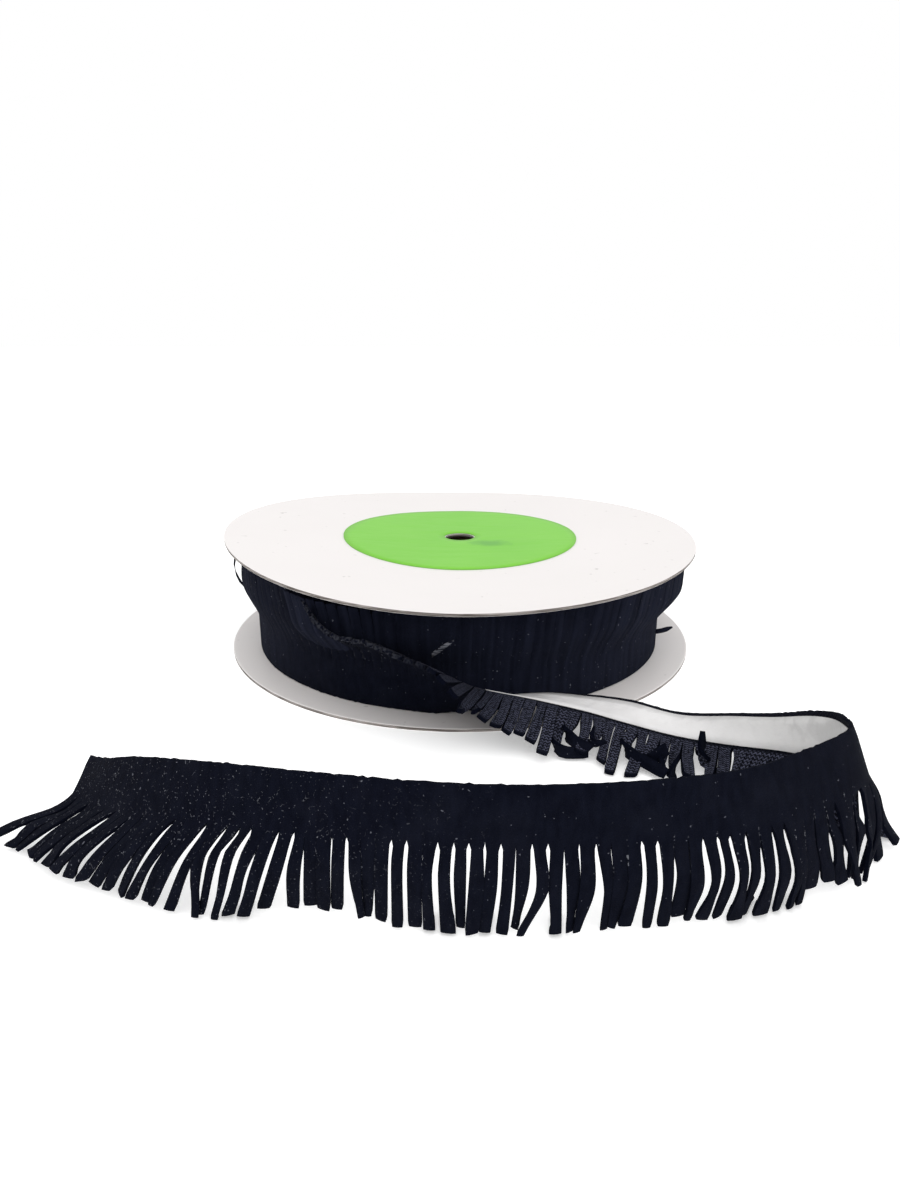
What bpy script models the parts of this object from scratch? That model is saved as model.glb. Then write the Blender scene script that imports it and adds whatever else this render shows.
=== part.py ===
"""A slit suede fringe trim on a flanged board spool, with its loose end laid out in front of the spool."""
import math
from collections import namedtuple

import bmesh
import bpy
from mathutils import Vector

# Spool: two board discs on a hollow core, and a round label
FLANGE_RADIUS = 0.0762
FLANGE_THICK = 0.0010
SPOOL_HEIGHT = 0.0330
SPINDLE_RADIUS = 0.00476
CORE_RADIUS = 0.0381
CORE_WALL = 0.0020
LABEL_RADIUS = 0.0381
LABEL_THICK = 0.0003
DISC_SIDES = 96
LABEL_SIDES = 64
CORE_SIDES = 48

# Clear gap between two pieces that touch, and the distance under which corners are one
SEAT_GAP = 0.0003
WELD = 0.00002

# Where the spool's axis stands, so that the whole object is centred on the origin
SPOOL_X = 0.0025
SPOOL_Y = 0.0383

# Trim: a plain header with an adhesive tape on its back, slit below into strands
CLOTH_THICK = 0.0010
HEADER_WIDTH = 0.0105
STRAND_LENGTH = 0.0190
STRAND_PITCH = 0.00265
STRAND_WIDTH = 0.00235
STRAND_LEAST_WIDTH = 0.0010
STRAND_GAP = 0.0003
BACKING_WIDTH = 0.0010
STRAND_STEPS = 4
# Share of its length in which a strand reaches its own angle, and how far it turns outward on the floor
STRAND_SETTLE = 0.62
FLOOR_BIAS = 0.15
TAPE_THICK = 0.0004
TAPE_MARGIN = 0.0010
END_SLANT = 0.0025
END_SLANT_RUN = 0.0200

# Steps in which the root line is measured, and the reach over which its direction is read
MEASURE_STEPS = 2000
DIRECTION_REACH = 0.0004

# Wound turns: a spiral whose last turn lifts off at the front
ROLL_INNER = 0.0384
ROLL_START_RADIUS = 0.0653
ROLL_END_RADIUS = 0.0674
ROLL_STRANDS = 158
LIFT_FROM = -150.0
LIFT_TO = -98.0
COVERED_SPREAD = 0.15
SPREAD_RUN = 70.0
SPREAD_WAVE = 0.08
SPREAD_WAVES = 3
ROLL_HEADROOM = 0.0010
TURN_MIDDLE = ROLL_END_RADIUS - CLOTH_THICK / 2
HEADER_FOOT = FLANGE_THICK + SEAT_GAP
ROOT_HEIGHT = HEADER_FOOT + HEADER_WIDTH

# Outer face of the wound turns from foot to top: height, depth of the slits, outward spread
RollLevel = namedtuple("RollLevel", "height slit_depth spread")
ROLL_LEVELS = [
    RollLevel(HEADER_FOOT, 0.0, 0.0),
    RollLevel(ROOT_HEIGHT, 0.0, 0.0),
    RollLevel(ROOT_HEIGHT + 0.0022, 0.00035, 0.0003),
    RollLevel(ROOT_HEIGHT + 0.0105, 0.00050, 0.0026),
    RollLevel(SPOOL_HEIGHT - FLANGE_THICK - ROLL_HEADROOM, 0.00080, 0.0052),
]

# The strip while it still lies on the spool: azimuth, angle of the header from level across the strip,
# angle that the strands reach, and how far they trail along the strip, all in degrees
Wound = namedtuple("Wound", "azimuth header_angle strand_angle drag")
WOUND = [
    Wound(-149.5, 90, 70, 0),
    Wound(-139, 90, 68, 0),
    Wound(-128, 90, 60, 0),
    Wound(-117, 90, 44, 0),
    Wound(-107, 90, 32, 2),
]

# The strip once it is free, by its root line from the spool's axis, with the same angles
Free = namedtuple("Free", "x y root_height header_angle strand_angle drag")
FREE = [
    Free(-0.0080, -0.0694, 0.0118, 76, 18, 4),
    Free(0.0045, -0.0736, 0.0110, 44, 2, 2),
    Free(0.0185, -0.0766, 0.0088, 14, -20, -4),
    Free(0.0305, -0.0794, 0.0070, 0, -27, -2),
    Free(0.0410, -0.0828, 0.0053, -11, -18, 4),
    Free(0.0515, -0.0872, 0.0042, -21, -10, 10),
    Free(0.0615, -0.0945, 0.0058, -31, -14, 18),
    Free(0.0710, -0.1045, 0.0096, -46, -42, 16),
    Free(0.0780, -0.1140, 0.0130, -77, -62, 6),
    Free(0.0800, -0.1235, 0.0163, -108, -122, 5),
    Free(0.0750, -0.1325, 0.0184, -115, -100, 5),
    Free(0.0625, -0.1412, 0.0188, -115, -84, -1),
    Free(0.0485, -0.1478, 0.0190, -108, -79, -3),
    Free(0.0310, -0.1510, 0.0192, -99, -85, -1),
    Free(0.0105, -0.1520, 0.0192, -94, -88, 0),
    Free(-0.0100, -0.1509, 0.0190, -99, -84, 1),
    Free(-0.0285, -0.1482, 0.0188, -106, -76, 10),
    Free(-0.0445, -0.1446, 0.0182, -112, -99, 27),
    Free(-0.0580, -0.1390, 0.0160, -120, -109, 41),
    Free(-0.0700, -0.1310, 0.0122, -126, -139, 38),
    Free(-0.0814, -0.1203, 0.0090, -136, -152, 31),
]

# Groups of strands along the strip, each with its own backing, by their first strand
FRINGES = [
    ("fringe_peel_left", 0),
    ("fringe_peel_mid", 10),
    ("fringe_peel_right", 20),
    ("fringe_peel_foot", 26),
    ("fringe_back_left", 32),
    ("fringe_back_right", 45),
    ("fringe_turn_back", 56),
    ("fringe_turn_right", 60),
    ("fringe_turn_nose", 64),
    ("fringe_turn_front", 68),
    ("fringe_front_right", 75),
    ("fringe_front_mid_right", 84),
    ("fringe_front_mid_left", 95),
    ("fringe_front_left", 108),
    ("fringe_end", 121),
]

SUEDE = ((0.012, 0.014, 0.022), 0.92)
TAPE = ((0.80, 0.79, 0.77), 0.30)
BOARD = ((0.86, 0.85, 0.83), 0.55)
KRAFT = ((0.45, 0.36, 0.27), 0.85)
GREEN = ((0.19, 0.60, 0.09), 0.45)


def clear_scene():
    for old in list(bpy.data.objects):
        bpy.data.objects.remove(old, do_unlink=True)


def material(name, finish):
    colour, roughness = finish
    made = bpy.data.materials.new(name)
    made.use_nodes = True
    shader = made.node_tree.nodes["Principled BSDF"]
    shader.inputs["Base Color"].default_value = (*colour, 1.0)
    shader.inputs["Roughness"].default_value = roughness
    shader.inputs["Metallic"].default_value = 0.0
    return made


def add_object(name, mesh, finish, parts):
    mesh.materials.append(finish)
    made = bpy.data.objects.new(name, mesh)
    parts.objects.link(made)
    return made


def turned(name, radius_in, radius_out, foot, top, steps, finish, parts):
    """A ring with a square section, turned about the spool's axis."""
    mesh = bpy.data.meshes.new(name)
    section = [(radius_out, top), (radius_out, foot), (radius_in, foot), (radius_in, top)]
    edges = [(i, (i + 1) % 4) for i in range(4)]
    mesh.from_pydata([(r, 0.0, z) for r, z in section], edges, [])
    made = add_object(name, mesh, finish, parts)
    made.location = (SPOOL_X, SPOOL_Y, 0.0)
    screw = made.modifiers.new("turn", "SCREW")
    screw.angle = 2 * math.pi
    screw.steps = steps
    screw.render_steps = steps
    screw.use_merge_vertices = True
    screw.merge_threshold = 0.00001
    screw.use_smooth_shade = False
    return made


def add_grid(sheet, columns, rows, place):
    """A sheet of quads whose corners are put by place(column, row)."""
    made = bmesh.ops.create_grid(sheet, x_segments=columns, y_segments=rows, size=1.0)
    for corner in made["verts"]:
        column = round((corner.co.x + 1) / 2 * columns)
        row = round((corner.co.y + 1) / 2 * rows)
        corner.co = place(column, row)


def finish_sheet(name, sheet, thickness, finish, parts):
    """An open surface given its thickness, half to each side."""
    bmesh.ops.recalc_face_normals(sheet, faces=sheet.faces)
    mesh = bpy.data.meshes.new(name)
    sheet.to_mesh(mesh)
    sheet.free()
    mesh.shade_smooth()
    made = add_object(name, mesh, finish, parts)
    shell = made.modifiers.new("thickness", "SOLIDIFY")
    shell.thickness = thickness
    shell.offset = 0.0
    return made


def polar(radius, degrees, height):
    turn = math.radians(degrees)
    return Vector((SPOOL_X + radius * math.cos(turn), SPOOL_Y + radius * math.sin(turn), height))


def roll_surface(degrees):
    """Radius of the wound turns and how freely their strands spread, by azimuth."""
    past = (degrees - LIFT_TO) % 360
    covered = (degrees - LIFT_FROM) % 360 < LIFT_TO - LIFT_FROM
    if covered:
        return ROLL_START_RADIUS, COVERED_SPREAD
    share = past / (360 - (LIFT_TO - LIFT_FROM))
    wave = 1 + SPREAD_WAVE * math.sin(math.radians(SPREAD_WAVES * degrees))
    spread = min(1.0, COVERED_SPREAD + past / SPREAD_RUN) * wave
    return ROLL_START_RADIUS + (ROLL_END_RADIUS - ROLL_START_RADIUS) * share, spread


def build_roll(finish, parts):
    """The turns wound on the core: one body, its outer face split into strands above the header."""
    columns = 2 * ROLL_STRANDS
    rows = len(ROLL_LEVELS) + 2

    def place(column, row):
        degrees = LIFT_FROM + 360.0 * (column % columns) / columns
        row = row % rows
        if row >= len(ROLL_LEVELS):
            height = ROLL_LEVELS[-1 if row == len(ROLL_LEVELS) else 0].height
            return polar(ROLL_INNER, degrees, height)
        level = ROLL_LEVELS[row]
        radius, spread = roll_surface(degrees)
        slit = level.slit_depth if column % 2 else 0.0
        return polar(radius + level.spread * spread - slit, degrees, level.height)

    roll = bmesh.new()
    add_grid(roll, columns, rows, place)
    bmesh.ops.remove_doubles(roll, verts=roll.verts, dist=WELD)
    bmesh.ops.recalc_face_normals(roll, faces=roll.faces)
    mesh = bpy.data.meshes.new("roll")
    roll.to_mesh(mesh)
    roll.free()
    return add_object("roll", mesh, finish, parts)


class Strip:
    """The free strip: its root line as a smooth curve through the stations, and its frame along it."""

    def __init__(self):
        rows = []
        for place in WOUND:
            point = polar(TURN_MIDDLE, place.azimuth, ROOT_HEIGHT)
            rows.append([*point, place.header_angle, place.strand_angle, place.drag])
        for place in FREE:
            point = (SPOOL_X + place.x, SPOOL_Y + place.y, place.root_height)
            rows.append([*point, place.header_angle, place.strand_angle, place.drag])
        self.rows = rows
        self.knots = [0.0]
        for before, after in zip(rows, rows[1:]):
            self.knots.append(self.knots[-1] + math.dist(before[:3], after[:3]))
        self.slopes = [self.slope(i) for i in range(len(rows))]
        self.measure()

    def slope(self, i):
        low, high = max(i - 1, 0), min(i + 1, len(self.rows) - 1)
        run = self.knots[high] - self.knots[low]
        return [(b - a) / run for a, b in zip(self.rows[low], self.rows[high])]

    def sample(self, knot):
        """The station's values at a place on the knot line."""
        knot = min(max(knot, 0.0), self.knots[-1])
        i = 0
        while i < len(self.knots) - 2 and knot > self.knots[i + 1]:
            i += 1
        run = self.knots[i + 1] - self.knots[i]
        t = (knot - self.knots[i]) / run
        rise = t * t * (3 - 2 * t)
        leave = t * (1 - t) ** 2 * run
        reach = -t * t * (1 - t) * run
        ends = zip(self.rows[i], self.rows[i + 1], self.slopes[i], self.slopes[i + 1])
        return [a + (b - a) * rise + leave * ma + reach * mb for a, b, ma, mb in ends]

    def measure(self):
        """Length along the root line, by knot, in fine steps."""
        self.fine = [self.knots[-1] * i / MEASURE_STEPS for i in range(MEASURE_STEPS + 1)]
        self.run = [0.0]
        last = self.sample(0.0)[:3]
        for knot in self.fine[1:]:
            here = self.sample(knot)[:3]
            self.run.append(self.run[-1] + math.dist(last, here))
            last = here
        self.length = self.run[-1]

    def knot_at(self, along):
        low, high = 0, len(self.run) - 1
        while high - low > 1:
            middle = (low + high) // 2
            if self.run[middle] <= along:
                low = middle
            else:
                high = middle
        share = (along - self.run[low]) / (self.run[high] - self.run[low])
        return self.fine[low] + (self.fine[high] - self.fine[low]) * share

    def frame(self, along):
        """Root point, directions along the strip, to its right and level, and the angles there."""
        knot = self.knot_at(min(max(along, 0.0), self.length))
        values = self.sample(knot)
        before = Vector(self.sample(knot - DIRECTION_REACH)[:3])
        after = Vector(self.sample(knot + DIRECTION_REACH)[:3])
        ahead = (after - before).normalized()
        level = Vector((ahead.x, ahead.y, 0.0)).normalized()
        right = Vector((level.y, -level.x, 0.0))
        return Vector(values[:3]), ahead, level, right, values[3:]

    def across(self, along):
        """Root point, the direction from the header's edge to the root line, and the face's normal."""
        root, ahead, level, right, angles = self.frame(along)
        lean = math.radians(angles[0])
        down = right * math.cos(lean) + Vector((0, 0, math.sin(lean)))
        down = (down - ahead * down.dot(ahead)).normalized()
        return root, down, ahead.cross(down).normalized()

    def point(self, along, up, out):
        """A point of the header, this far up from the root line and this far out from the cloth's middle."""
        short = END_SLANT * max(0.0, 1 - (self.length - along) / END_SLANT_RUN)
        root, down, normal = self.across(along - short * up / HEADER_WIDTH)
        return root - down * up + normal * out


def build_header(strip, finish, parts):
    """The plain band above the slits, from the last turn round to the cut end."""
    columns = round(strip.length / STRAND_PITCH)

    def place(column, row):
        up = STRAND_GAP / 2 + (HEADER_WIDTH - STRAND_GAP / 2) * row / 2
        return strip.point(strip.length * column / columns, up, 0.0)

    header = bmesh.new()
    add_grid(header, columns, 2, place)
    return finish_sheet("header", header, CLOTH_THICK, finish, parts)


def build_tape(strip, finish, parts):
    """The liner of the adhesive tape, on the back of the header."""
    columns = round(strip.length / STRAND_PITCH)
    out = -(CLOTH_THICK / 2 + SEAT_GAP + TAPE_THICK / 2)

    def place(column, row):
        up = STRAND_GAP + (HEADER_WIDTH - TAPE_MARGIN - STRAND_GAP) * row
        return strip.point(strip.length * column / columns, up, out)

    tape = bmesh.new()
    add_grid(tape, columns, 1, place)
    return finish_sheet("tape", tape, TAPE_THICK, finish, parts)


def strand_line(strip, along):
    """The middle of one strand from its root, level along the floor where it reaches it."""
    root, ahead, level, right, (start, end, drag) = strip.frame(along)
    rest = CLOTH_THICK / 2
    step = (STRAND_LENGTH - BACKING_WIDTH) / STRAND_STEPS
    down = strip.across(along)[1]
    line = [root + down * BACKING_WIDTH]
    for i in range(STRAND_STEPS):
        share = min(1.0, (i + 0.5) / STRAND_STEPS / STRAND_SETTLE)
        turn = share * share * (3 - 2 * share)
        lean = math.radians(start + (end - start) * turn)
        trail = math.radians(drag * turn)
        flat = right * (math.cos(lean) * math.cos(trail)) + level * math.sin(trail)
        here = line[-1] + (flat + Vector((0, 0, math.sin(lean) * math.cos(trail)))) * step
        if here.z < rest:
            drop = line[-1].z - rest
            side = flat + right * math.copysign(FLOOR_BIAS, math.cos(lean))
            reach = math.sqrt(max(step * step - drop * drop, 0.0))
            here = line[-1] + side.normalized() * reach
            here.z = rest
        line.append(here)
    return line


def strand_sides(line, level):
    """A level direction across the strand at each of its points."""
    sides = []
    for i, here in enumerate(line):
        run = line[min(i + 1, len(line) - 1)] - line[max(i - 1, 0)]
        if here.z < CLOTH_THICK:
            run.z = 0.0
        run.normalize()
        sides.append((level - run * level.dot(run)).normalized())
    return sides


def strand_widths(lines, number):
    """Width of a strand at each of its points, kept clear of its neighbours."""
    widths = []
    line = lines[number]
    for i, here in enumerate(line):
        run = (line[min(i + 1, len(line) - 1)] - line[max(i - 1, 0)]).normalized()
        room = STRAND_PITCH
        for other in (number - 1, number + 1):
            if 0 <= other < len(lines):
                apart = lines[other][i] - here
                room = min(room, (apart - run * apart.dot(run)).length)
        widths.append(max(STRAND_LEAST_WIDTH, min(STRAND_WIDTH, room - STRAND_GAP)))
    return widths


def build_fringe(name, first, last, strip, lines, finish, parts):
    """A run of strands joined at their roots by a narrow backing."""

    def place_backing(column, row):
        edge = STRAND_GAP / 2 if column % 2 == 0 else STRAND_PITCH - STRAND_GAP / 2
        root, down, normal = strip.across((first + column // 2) * STRAND_PITCH + edge)
        return root + down * (BACKING_WIDTH if row == 0 else STRAND_GAP / 2)

    fringe = bmesh.new()
    add_grid(fringe, 2 * (last - first) - 1, 1, place_backing)
    for number in range(first, last):
        line = lines[number]
        sides = strand_sides(line, strip.frame((number + 0.5) * STRAND_PITCH)[2])
        widths = strand_widths(lines, number)

        def place_strand(column, row):
            if row == 0:
                return place_backing(2 * (number - first) + column, 0)
            return line[row] + sides[row] * widths[row] * (column - 0.5)

        add_grid(fringe, 1, STRAND_STEPS, place_strand)
    bmesh.ops.remove_doubles(fringe, verts=fringe.verts, dist=WELD)
    return finish_sheet(name, fringe, CLOTH_THICK, finish, parts)


def main():
    clear_scene()
    parts = bpy.data.collections.new("suede_fringe_trim")
    bpy.context.scene.collection.children.link(parts)
    suede = material("suede", SUEDE)
    board = material("board", BOARD)
    under = SPOOL_HEIGHT - FLANGE_THICK
    foot = FLANGE_THICK + SEAT_GAP
    face = SPOOL_HEIGHT + SEAT_GAP
    kraft = material("kraft", KRAFT)
    green = material("green", GREEN)
    turned("flange_lower", SPINDLE_RADIUS, FLANGE_RADIUS, 0.0, FLANGE_THICK, DISC_SIDES, board, parts)
    turned("flange_upper", SPINDLE_RADIUS, FLANGE_RADIUS, under, SPOOL_HEIGHT, DISC_SIDES, board, parts)
    turned("core", CORE_RADIUS - CORE_WALL, CORE_RADIUS, foot, under - SEAT_GAP, CORE_SIDES, kraft, parts)
    turned("label", SPINDLE_RADIUS, LABEL_RADIUS, face, face + LABEL_THICK, LABEL_SIDES, green, parts)
    build_roll(suede, parts)
    strip = Strip()
    build_header(strip, suede, parts)
    build_tape(strip, material("tape", TAPE), parts)
    count = int(strip.length / STRAND_PITCH)
    lines = [strand_line(strip, (number + 0.5) * STRAND_PITCH) for number in range(count)]
    ends = [first for name, first in FRINGES[1:]] + [count]
    for (name, first), last in zip(FRINGES, ends):
        build_fringe(name, first, last, strip, lines, suede, parts)


main()
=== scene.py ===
import math
import random
from collections import namedtuple

import bmesh
import bpy
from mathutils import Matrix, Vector, noise


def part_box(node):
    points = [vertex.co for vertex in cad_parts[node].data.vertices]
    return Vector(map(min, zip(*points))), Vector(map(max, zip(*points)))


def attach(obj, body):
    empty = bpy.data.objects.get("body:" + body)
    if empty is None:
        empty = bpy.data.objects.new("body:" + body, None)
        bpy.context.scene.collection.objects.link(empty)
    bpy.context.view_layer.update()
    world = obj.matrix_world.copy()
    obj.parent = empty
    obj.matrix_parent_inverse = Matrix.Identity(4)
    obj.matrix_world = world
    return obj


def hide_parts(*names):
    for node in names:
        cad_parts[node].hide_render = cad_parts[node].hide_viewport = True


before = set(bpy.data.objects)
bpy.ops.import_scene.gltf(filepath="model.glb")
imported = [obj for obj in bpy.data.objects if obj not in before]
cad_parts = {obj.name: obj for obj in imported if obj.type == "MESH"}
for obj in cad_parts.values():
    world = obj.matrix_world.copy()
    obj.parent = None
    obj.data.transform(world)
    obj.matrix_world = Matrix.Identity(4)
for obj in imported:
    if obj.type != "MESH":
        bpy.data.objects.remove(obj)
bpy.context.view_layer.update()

# Camera: at the photograph's height and tilt in front of the spool, so that the render can be laid
# over the photograph.
upper_low, upper_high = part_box("flange_upper")
spool_x = (upper_low.x + upper_high.x) / 2
spool_y = (upper_low.y + upper_high.y) / 2
camera_right = -0.003271
camera_back = -0.271069
camera_height = 0.102442
camera_tilt = math.radians(71.316)
camera_lens = 24.96
camera_sensor = 36.0
photo_width = 900
photo_height = 1200
lens_pixels = camera_lens / camera_sensor * photo_height

photo_lens = bpy.data.cameras.new("photo_camera")
photo_lens.lens = camera_lens
photo_lens.sensor_width = camera_sensor
photo_lens.clip_start = 0.005
photo_camera = bpy.data.objects.new("photo_camera", photo_lens)
photo_camera.location = (spool_x + camera_right, spool_y + camera_back, camera_height)
photo_camera.rotation_euler = (camera_tilt, 0.0, 0.0)
bpy.context.scene.collection.objects.link(photo_camera)
bpy.context.scene.camera = photo_camera
bpy.context.scene.view_settings.view_transform = "Standard"

# Board discs: two rounds of white-faced paperboard, one under the wound trim and one over it.
# They are die cut, so the edge shows the raw board, and the holes for the spindle are punched.
disc_radius = upper_high.x - spool_x
disc_rim_round = 0.00012
disc_rim_ring = 0.0004
disc_hole = 0.00476
disc_sides = 256
disc_rings = 10
bent_left = 0.0054
bent_right = 0.0021
bent_curve = 1.7
board_white = (0.770, 0.740, 0.730)
board_shade = (0.735, 0.703, 0.692)
board_raw = (0.10, 0.085, 0.075)
board_ply = (0.36, 0.33, 0.31)


class Shade:
    """A value in a finish's nodes, which plain arithmetic works on."""

    def __init__(self, finish, socket):
        self.finish = finish
        self.socket = socket

    def __add__(self, other):
        return self.finish.math("ADD", self, other)

    def __sub__(self, other):
        return self.finish.math("SUBTRACT", self, other)

    def __rsub__(self, other):
        return self.finish.math("SUBTRACT", other, self)

    def __mul__(self, other):
        return self.finish.math("MULTIPLY", self, other)

    __radd__ = __add__
    __rmul__ = __mul__


class Finish:
    """A material whose fixed numbers sit on the shader and whose patterns are nodes."""

    def __init__(self, name, roughness, **fixed):
        self.material = bpy.data.materials.new(name)
        self.material.use_nodes = True
        self.tree = self.material.node_tree
        self.shader = self.tree.nodes["Principled BSDF"]
        self.shader.inputs["Roughness"].default_value = roughness
        for socket, value in fixed.items():
            self.shader.inputs[socket.replace("_", " ")].default_value = value

    def put(self, socket, value):
        if isinstance(value, Shade):
            self.tree.links.new(value.socket, socket)
        elif isinstance(value, tuple) and len(value) == 3 and socket.type == "RGBA":
            socket.default_value = (*value, 1.0)
        else:
            socket.default_value = value

    def node(self, kind, settings, sockets, output=0):
        made = self.tree.nodes.new(kind)
        for name, value in settings.items():
            if name == "stops":
                ramp = made.color_ramp
                while len(ramp.elements) < len(value):
                    ramp.elements.new(1.0)
                for element, (position, tone) in zip(ramp.elements, value):
                    element.position = position
                    element.color = (tone, tone, tone, 1.0)
            else:
                setattr(made, name, value)
        for name, value in sockets.items():
            self.put(made.inputs[name], value)
        return Shade(self, made.outputs[output])

    def math(self, operation, first, second=0.0):
        return self.node("ShaderNodeMath", {"operation": operation}, {0: first, 1: second})

    def place(self, source="Object"):
        return self.node("ShaderNodeTexCoord", {}, {}, source)

    def layer(self, name):
        """The two lengths that a UV layer holds."""
        spread = self.node("ShaderNodeUVMap", {"uv_map": name}, {})
        return [self.node("ShaderNodeSeparateXYZ", {}, {0: spread}, side) for side in (0, 1)]

    def scaled(self, place, x, y, z):
        return self.node("ShaderNodeMapping", {}, {"Vector": place, "Scale": (x, y, z)})

    def grain(self, place, scale, detail=2.0, rough=0.5):
        sockets = {"Vector": place, "Scale": scale, "Detail": detail, "Roughness": rough}
        return self.node("ShaderNodeTexNoise", {}, sockets, "Fac")

    def ramp(self, value, *stops):
        return self.node("ShaderNodeValToRGB", {"stops": stops}, {"Fac": value}, "Color")

    def rise(self, value, low, high):
        """0 up to the low value, and 1 from the high one on."""
        return self.ramp(value, (low, 0.0), (high, 1.0))

    def fall(self, value, low, high):
        """1 up to the low value, and 0 from the high one on."""
        return self.ramp(value, (low, 1.0), (high, 0.0))

    def mix(self, share, below, above):
        return self.node("ShaderNodeMix", {"data_type": "RGBA"}, {0: share, 6: below, 7: above}, 2)

    def bump(self, height, distance, under=None):
        sockets = {"Height": height, "Distance": distance, "Strength": 1.0}
        if under is not None:
            sockets["Normal"] = under
        return self.node("ShaderNodeBump", {}, sockets, "Normal")

    def wear(self, colour, normal=None):
        self.put(self.shader.inputs["Base Color"], colour)
        if normal is not None:
            self.put(self.shader.inputs["Normal"], normal)
        return self.material


def turn_section(section, sides):
    """A closed section of (radius, height) points, spun about the spool's axis."""
    turned = bmesh.new()
    corners = [turned.verts.new((spool_x + radius, spool_y, height)) for radius, height in section]
    rims = [turned.edges.new(pair) for pair in zip(corners, corners[1:] + corners[:1])]
    bmesh.ops.spin(
        turned, geom=corners + rims, cent=(spool_x, spool_y, 0.0), axis=(0, 0, 1),
        angle=math.tau, steps=sides, use_merge=True)
    bmesh.ops.remove_doubles(turned, verts=turned.verts, dist=0.000005)
    bmesh.ops.recalc_face_normals(turned, faces=turned.faces)
    for face in turned.faces:
        face.smooth = True
    return turned


def save_piece(name, shape, *finishes):
    mesh = bpy.data.meshes.new(name)
    shape.to_mesh(mesh)
    shape.free()
    for finish in finishes:
        mesh.materials.append(finish)
    piece = bpy.data.objects.new(name, mesh)
    bpy.context.scene.collection.objects.link(piece)
    return piece


def board_face():
    finish = Finish("board_face", 0.5)
    place = finish.place()
    cloud = finish.grain(place, 14.0, 3.0)
    fibre = finish.grain(place, 900.0, 3.0, 0.6)
    tone = finish.mix(finish.rise(cloud, 0.35, 0.7) * 0.6, board_white, board_shade)
    flecks = finish.rise(finish.grain(place, 420.0, 1.0), 0.74, 0.80)
    tone = finish.mix(flecks * 0.25, tone, board_raw)
    warp = finish.bump(cloud, 0.0008)
    return finish.wear(tone, finish.bump(fibre, 0.00003, warp))


def board_edge():
    finish = Finish("board_edge", 0.85)
    place = finish.place()
    layers = finish.grain(finish.scaled(place, 150.0, 150.0, 3500.0), 1.0, 2.0)
    fibre = finish.grain(place, 1600.0, 2.0)
    tone = finish.mix(finish.rise(layers, 0.40, 0.65), board_raw, board_ply)
    return finish.wear(tone, finish.bump(fibre, 0.0001))


def bent_up(x):
    """How far the upper disc is bent up at this place, by the strands under its two sides."""
    off = (x - spool_x) / disc_radius
    return (bent_left if off < 0 else bent_right) * abs(off) ** bent_curve


board_finishes = (board_face(), board_edge())
for disc in ("flange_lower", "flange_upper"):
    low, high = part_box(disc)
    reach = disc_radius - disc_rim_round
    first = disc_hole + disc_rim_ring
    last = reach - disc_rim_ring
    rings = [first + (last - first) * ring / disc_rings for ring in range(disc_rings + 1)]
    rings = [disc_hole, *rings, reach]
    section = [(radius, low.z) for radius in rings]
    section += [(disc_radius, low.z + disc_rim_round), (disc_radius, high.z - disc_rim_round)]
    section += [(radius, high.z) for radius in reversed(rings)]
    shape = turn_section(section, disc_sides)
    for face in shape.faces:
        face.material_index = 1 if abs(face.normal.z) < 0.5 else 0
    for corner in shape.verts:
        corner.co.z += bent_up(corner.co.x) if disc == "flange_upper" else 0.0
    board = save_piece(disc.replace("flange", "board_disc"), shape, *board_finishes)
    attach(board, "root")
    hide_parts(disc)

# Core: a short tube of grey-brown board that the trim is wound on, glued between the discs.
# Its CAD form is right, so it keeps it and gets the finish of rolled kraft paper.
kraft_brown = (0.36, 0.27, 0.19)
kraft_pale = (0.50, 0.40, 0.30)

kraft = Finish("kraft_tube", 0.85)
kraft_place = kraft.place()
kraft_cloud = kraft.grain(kraft.scaled(kraft_place, 60.0, 60.0, 400.0), 1.0, 3.0)
kraft_fibre = kraft.grain(kraft_place, 1200.0, 3.0)
kraft.wear(kraft.mix(kraft_cloud, kraft_brown, kraft_pale), kraft.bump(kraft_fibre, 0.00012))
core_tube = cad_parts["core"]
core_tube.data.materials.clear()
core_tube.data.materials.append(kraft.material)

# Label: a round of lime green paper glued to the upper disc round the spindle hole.
# It is thin, a little cockled by the glue, and left bare.
label_green = (0.200, 0.555, 0.058)
label_wet = (0.182, 0.530, 0.050)
label_worn = (0.110, 0.370, 0.055)
label_radius = 0.0386
label_hole = 0.0050
label_cockle = 0.00006
label_glue = 0.00004
label_thick = 0.00022
label_rings = 12
label_sides = 128
worn_x = spool_x + 0.0095
worn_y = spool_y - 0.0092

board_top = upper_high.z
label_foot = board_top + label_glue
label_top = label_foot + label_thick
label_step = (label_radius - label_hole) / label_rings
label_radii = [label_hole + label_step * ring for ring in range(label_rings + 1)]
label_section = [(radius, label_foot) for radius in label_radii]
label_section += [(radius, label_top) for radius in reversed(label_radii)]
label_shape = turn_section(label_section, label_sides)
for corner in label_shape.verts:
    if corner.co.z > label_foot + label_thick / 2:
        swell = noise.noise(corner.co * 90.0) + 0.5 * noise.noise(corner.co * 260.0)
        corner.co.z += label_cockle * (1.0 + swell)
    corner.co.z += bent_up(corner.co.x)


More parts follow.
